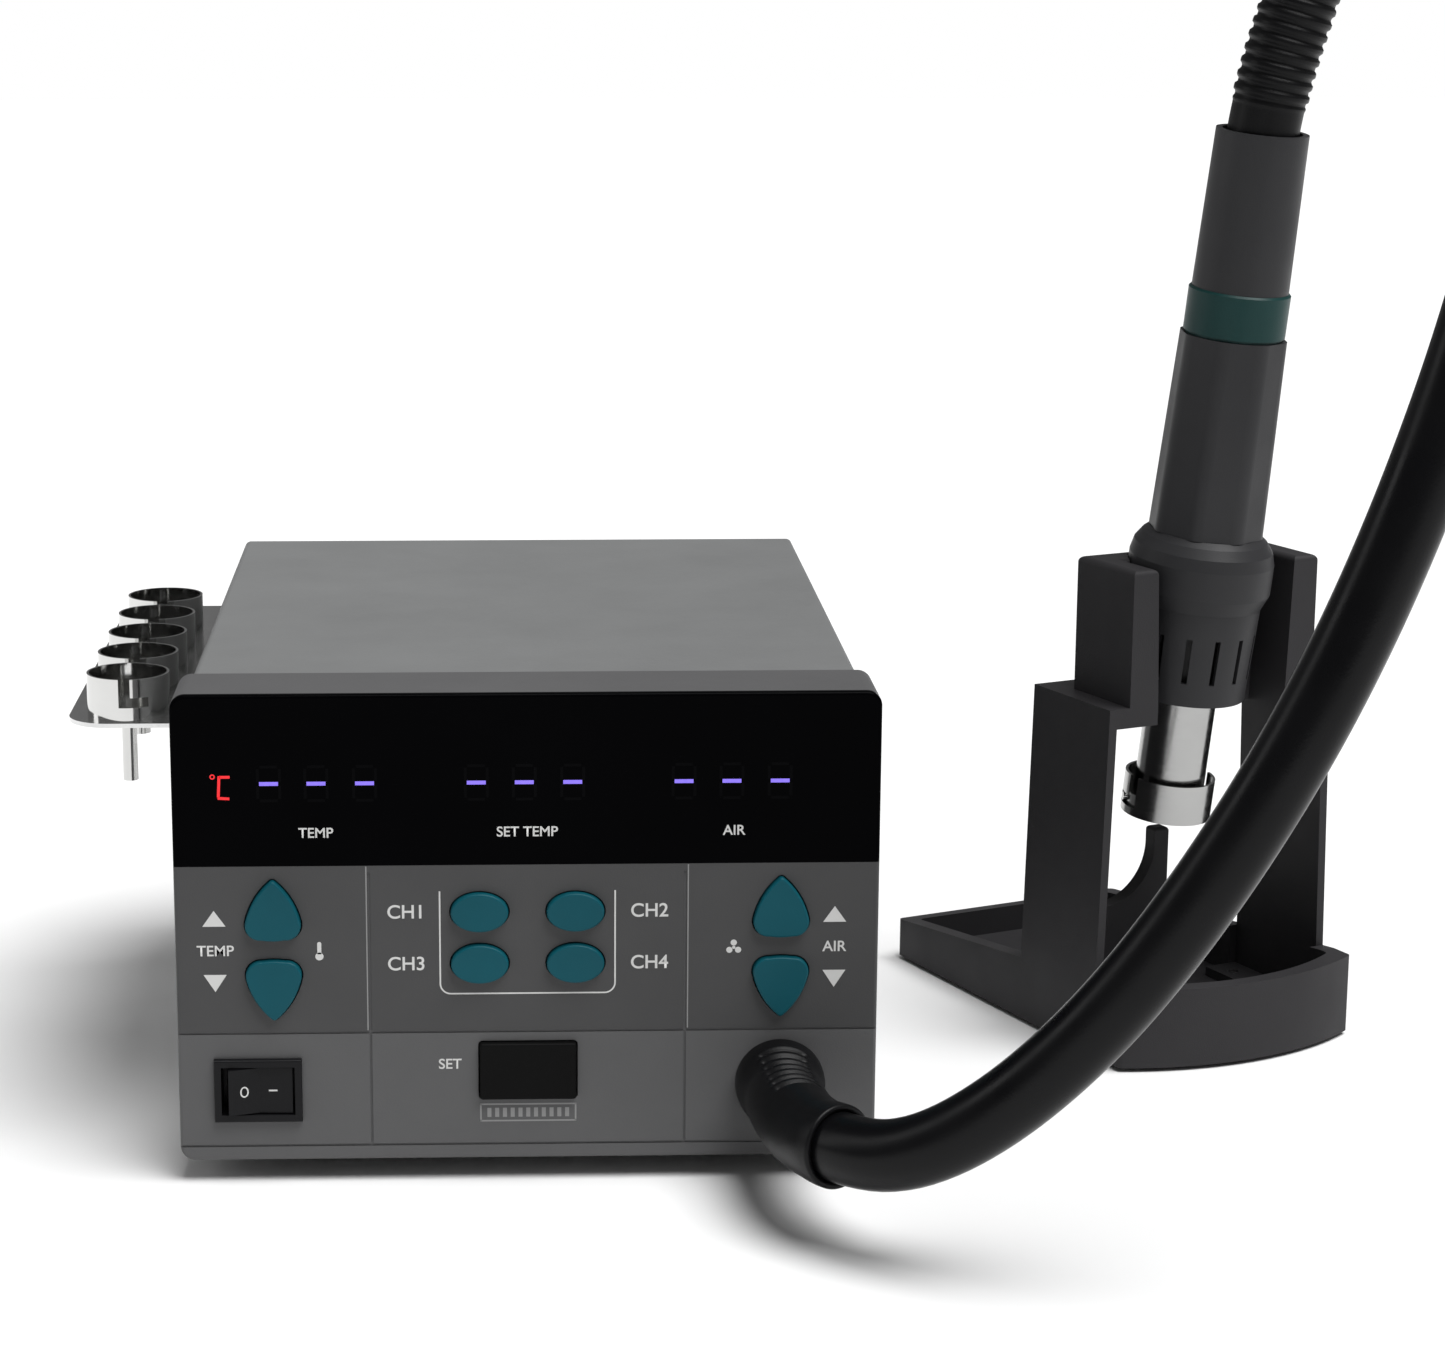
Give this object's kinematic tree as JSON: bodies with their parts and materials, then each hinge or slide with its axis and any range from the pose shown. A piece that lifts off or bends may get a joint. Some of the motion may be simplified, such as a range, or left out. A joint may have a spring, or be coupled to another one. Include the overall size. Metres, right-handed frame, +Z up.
{
  "type": "hot air rework station",
  "caption": "Bench hot air rework station: control box with blower, side rack of spare nozzles, hand piece on a flexible hose, and its cradle stand.",
  "frame": {"origin": "bottom centre of the whole set without its hose, on the bench", "axes": "+X to the user's right, from the nozzle rack to the stand; +Y away from the user; +Z up"},
  "size_m": [0.3834, 0.3497, 0.4902],
  "materials": {
    "front_plastic": "fine textured dark grey",
    "cover_paint": "semi-matte grey powder coat",
    "window": "polished black acrylic",
    "teal_rubber": "satin teal",
    "black_button": "satin black",
    "switch_black": "semi-gloss black",
    "handle_plastic": "satin dark grey",
    "stand_plastic": "satin charcoal",
    "teal_ring": "satin teal",
    "rubber": "black rubber",
    "hose_rubber": "smooth black silicone",
    "steel": "brushed stainless",
    "chrome": "polished",
    "zinc": "zinc plated",
    "aluminium": "extruded",
    "board": "green lacquer",
    "component": "moulded black",
    "ceramic": "fired ceramic",
    "mica": "mica wrap",
    "copper": "enamelled copper",
    "brass": "bare",
    "core_steel": "varnished laminations",
    "nylon": "black nylon"
  },
  "bodies": {
    "station": {"front_bezel": "front_plastic", "top_cover": "cover_paint", "base_tray": "cover_paint", "rear_panel": "cover_paint", "display_window": "window", "rubber_feet": "rubber", "cover_screws": "zinc", "mains_inlet": "switch_black", "inlet_pins": "brass", "fuse_holder": "switch_black", "power_switch_body": "switch_black", "button_switches": "component", "led_modules": "component", "display_board": "board", "board_standoffs": "nylon", "control_board": "board", "board_components": "component", "heatsink": "aluminium", "transformer_core": "core_steel", "transformer_winding": "copper", "blower_housing": "nylon", "blower_motor": "steel", "air_duct": "nylon", "hose_gland": "nylon", "rack_plate": "steel", "hose": "hose_rubber", "station_boot": "rubber", "stand_base": "stand_plastic", "stand_left_post": "stand_plastic", "stand_right_post": "stand_plastic", "stand_nozzle_rest": "stand_plastic", "stand_weight": "zinc", "stand_screws": "zinc"},
    "handle": {"heater_barrel": "steel", "heater_core": "ceramic", "heater_insulator": "mica", "nose_shield": "handle_plastic", "handle_collar": "handle_plastic", "handle_grip": "handle_plastic", "handle_ring": "teal_ring", "handle_tail": "handle_plastic", "handle_boot": "rubber", "handle_board": "board"},
    "fitted_nozzle": {"handle_nozzle": "steel"},
    "rocker": {"power_rocker": "switch_black"},
    "impeller": {"blower_impeller": "nylon"},
    "temp_up_key": {"temp_up_button": "teal_rubber"},
    "temp_down_key": {"temp_down_button": "teal_rubber"},
    "air_up_key": {"air_up_button": "teal_rubber"},
    "air_down_key": {"air_down_button": "teal_rubber"},
    "channel_1_key": {"channel_1_button": "teal_rubber"},
    "channel_2_key": {"channel_2_button": "teal_rubber"},
    "channel_3_key": {"channel_3_button": "teal_rubber"},
    "channel_4_key": {"channel_4_button": "teal_rubber"},
    "set_key": {"set_button": "black_button"},
    "spare_1": {"spare_nozzle_1": "chrome"},
    "spare_2": {"spare_nozzle_2": "chrome"},
    "spare_3": {"spare_nozzle_3": "chrome"},
    "spare_4": {"spare_nozzle_4": "chrome"},
    "spare_5": {"spare_nozzle_5": "chrome"}
  },
  "joints": [
    {"name": "handle_lift", "type": "slide", "parent": "station", "child": "handle", "axis": [0.0834, -0.0795, 0.9933], "range_m": [0, 0.09], "deforming": ["hose"]},
    {"name": "nozzle_twist", "type": "hinge", "parent": "handle", "child": "fitted_nozzle", "pos_m": [0.13453, 0.03708, 0.07697], "axis": [0.0834, -0.0795, 0.9933], "range_deg": [-26, 0]},
    {"name": "power_rock", "type": "hinge", "parent": "station", "child": "rocker", "pos_m": [-0.1352, -0.0872, 0.0261], "axis": [0, 0, 1], "range_deg": [-16, 0]},
    {"name": "impeller_spin", "type": "hinge", "parent": "station", "child": "impeller", "pos_m": [-0.0286, 0.0748, 0.03], "axis": [0, 0, 1], "continuous": true},
    {"name": "temp_up_key_press", "type": "slide", "parent": "station", "child": "temp_up_key", "axis": [0, 1, 0], "range_m": [0, 0.001], "stiffness_N_per_m": 300, "springref_m": -0.001},
    {"name": "temp_down_key_press", "type": "slide", "parent": "station", "child": "temp_down_key", "axis": [0, 1, 0], "range_m": [0, 0.001], "stiffness_N_per_m": 300, "springref_m": -0.001},
    {"name": "air_up_key_press", "type": "slide", "parent": "station", "child": "air_up_key", "axis": [0, 1, 0], "range_m": [0, 0.001], "stiffness_N_per_m": 300, "springref_m": -0.001},
    {"name": "air_down_key_press", "type": "slide", "parent": "station", "child": "air_down_key", "axis": [0, 1, 0], "range_m": [0, 0.001], "stiffness_N_per_m": 300, "springref_m": -0.001},
    {"name": "channel_1_key_press", "type": "slide", "parent": "station", "child": "channel_1_key", "axis": [0, 1, 0], "range_m": [0, 0.001], "stiffness_N_per_m": 300, "springref_m": -0.001},
    {"name": "channel_2_key_press", "type": "slide", "parent": "station", "child": "channel_2_key", "axis": [0, 1, 0], "range_m": [0, 0.001], "stiffness_N_per_m": 300, "springref_m": -0.001},
    {"name": "channel_3_key_press", "type": "slide", "parent": "station", "child": "channel_3_key", "axis": [0, 1, 0], "range_m": [0, 0.001], "stiffness_N_per_m": 300, "springref_m": -0.001},
    {"name": "channel_4_key_press", "type": "slide", "parent": "station", "child": "channel_4_key", "axis": [0, 1, 0], "range_m": [0, 0.001], "stiffness_N_per_m": 300, "springref_m": -0.001},
    {"name": "set_key_press", "type": "slide", "parent": "station", "child": "set_key", "axis": [0, 1, 0], "range_m": [0, 0.001], "stiffness_N_per_m": 300, "springref_m": -0.001},
    {"name": "spare_1_lift", "type": "slide", "parent": "station", "child": "spare_1", "axis": [0, 0, 1], "range_m": [0, 0.04]},
    {"name": "spare_2_lift", "type": "slide", "parent": "station", "child": "spare_2", "axis": [0, 0, 1], "range_m": [0, 0.03]},
    {"name": "spare_3_lift", "type": "slide", "parent": "station", "child": "spare_3", "axis": [0, 0, 1], "range_m": [0, 0.03]},
    {"name": "spare_4_lift", "type": "slide", "parent": "station", "child": "spare_4", "axis": [0, 0, 1], "range_m": [0, 0.03]},
    {"name": "spare_5_lift", "type": "slide", "parent": "station", "child": "spare_5", "axis": [0, 0, 1], "range_m": [0, 0.03]}
  ]
}
